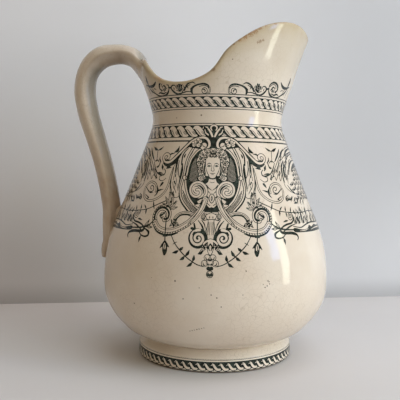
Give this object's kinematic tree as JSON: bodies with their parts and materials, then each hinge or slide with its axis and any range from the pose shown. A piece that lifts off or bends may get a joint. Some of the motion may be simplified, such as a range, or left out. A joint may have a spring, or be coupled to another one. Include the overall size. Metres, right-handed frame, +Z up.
{
  "type": "wash jug",
  "caption": "Earthenware wash jug with a pear-shaped belly, a wide swept spout, a strap handle and a flared foot.",
  "frame": {"origin": "on the turning axis of the body, in the plane the foot rests on", "axes": "+Z up, +X towards the spout, the handle at -X, the jug is the same on both sides of the XZ plane"},
  "size_m": [0.2382, 0.2084, 0.2971],
  "materials": {
    "glazed_earthenware": "glossy cream lead glaze, crazed and a little stained, with a dark green-black transfer print",
    "luting_slip": "glazed over like the body"
  },
  "bodies": {
    "root": {"body_front_half": "glazed_earthenware", "body_back_half": "glazed_earthenware", "bottom": "glazed_earthenware", "foot_ring": "glazed_earthenware", "handle": "glazed_earthenware", "handle_top_slip": "luting_slip", "handle_foot_slip": "luting_slip"}
  },
  "joints": []
}
